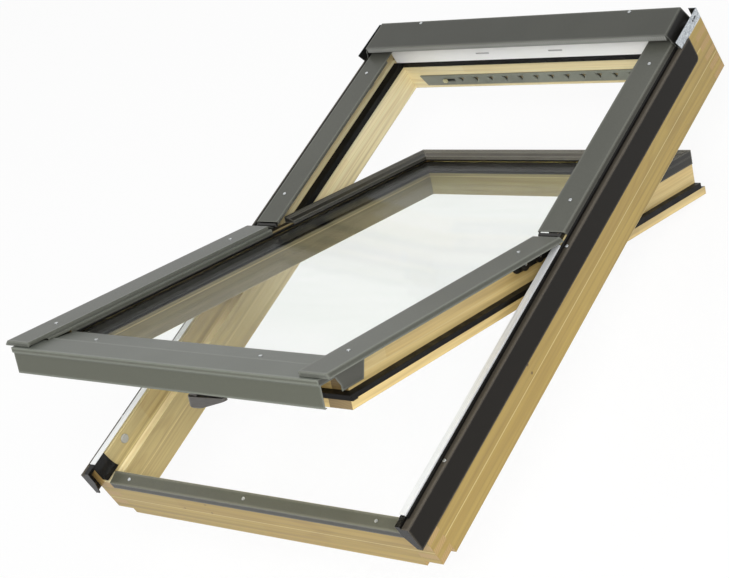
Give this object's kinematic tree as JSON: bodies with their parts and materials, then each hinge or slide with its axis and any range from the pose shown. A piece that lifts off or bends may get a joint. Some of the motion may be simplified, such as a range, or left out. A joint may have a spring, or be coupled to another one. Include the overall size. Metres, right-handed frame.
{
  "type": "roof skylight",
  "caption": "Centre-pivot roof skylight: finger-jointed pine frame, aluminium covers and hood, and a double-glazed sash that turns on side hinges and locks with a lever.",
  "frame": {"origin": "middle of the sill's room face", "axes": "+X across the window, to the right seen from outside; +Y up the roof slope; +Z out of the roof"},
  "size_m": [0.782, 1.196, 0.6159],
  "materials": {
    "pine": "satin",
    "sash_cover": "satin",
    "frame_cover": "satin",
    "flashing": "matte",
    "silver": "satin",
    "galvanised": "satin",
    "hinge_steel": "satin",
    "zinc_steel": "satin",
    "seal": "matte",
    "cap": "matte",
    "trim": "satin",
    "white_plastic": "satin",
    "grey_plastic": "satin",
    "clear_glass": "gloss",
    "spacer": "matte",
    "handle": "satin"
  },
  "bodies": {
    "frame": {"left_jamb": "pine", "right_jamb": "pine", "sill": "pine", "head": "pine", "left_flashing": "flashing", "right_flashing": "flashing", "left_upstand": "silver", "right_upstand": "silver", "left_weather_strip": "seal", "right_weather_strip": "seal", "left_upper_cover": "frame_cover", "right_upper_cover": "frame_cover", "left_corner_cap": "cap", "right_corner_cap": "cap", "left_hood_bracket": "galvanised", "right_hood_bracket": "galvanised", "left_frame_gasket": "seal", "right_frame_gasket": "seal", "left_frame_hinge": "hinge_steel", "right_frame_hinge": "hinge_steel", "sill_cover": "sash_cover", "hood": "frame_cover", "air_intake": "white_plastic", "head_gasket": "seal", "jamb_plug": "grey_plastic", "jamb_catch": "zinc_steel", "strike_plate": "zinc_steel", "vent_grille": "grey_plastic", "frame_screws": "zinc_steel"},
    "sash": {"left_stile": "pine", "right_stile": "pine", "top_rail": "pine", "bottom_rail": "pine", "outer_pane": "clear_glass", "inner_pane": "clear_glass", "glass_spacer": "spacer", "glazing_tape": "seal", "glazing_gasket": "seal", "left_side_cover": "sash_cover", "right_side_cover": "sash_cover", "left_corner_cover": "sash_cover", "right_corner_cover": "sash_cover", "left_upper_trim": "trim", "right_upper_trim": "trim", "left_sash_gasket": "seal", "right_sash_gasket": "seal", "left_upper_seal": "seal", "right_upper_seal": "seal", "left_sash_hinge": "hinge_steel", "right_sash_hinge": "hinge_steel", "bottom_cover": "sash_cover", "top_trim": "trim", "bottom_gasket": "seal", "handle_base": "trim", "sash_screws": "zinc_steel"},
    "handle": {"handle_lever": "handle"},
    "bolt": {"lock_bolt": "zinc_steel"},
    "shutter": {"vent_shutter": "grey_plastic"}
  },
  "joints": [
    {"name": "sash_pivot", "type": "hinge", "parent": "frame", "child": "sash", "pos_m": [0, 0.595, 0.1295], "axis": [-1, 0, 0], "range_deg": [-27.7, 122.3]},
    {"name": "handle_turn", "type": "hinge", "parent": "sash", "child": "handle", "pos_m": [-0.034, 0.0689, 0.30632], "axis": [0, 0.4648, 0.8854], "range_deg": [0, 90]},
    {"name": "bolt_slide", "type": "slide", "parent": "sash", "child": "bolt", "axis": [0, -0.8854, 0.4648], "range_m": [0, 0.012]},
    {"name": "shutter_slide", "type": "slide", "parent": "frame", "child": "shutter", "axis": [1, 0, 0], "range_m": [0, 0.019]}
  ],
  "couplings": [
    {"joint": "bolt_slide", "follows": "handle_turn", "m_per_rad": 0.00763}
  ]
}
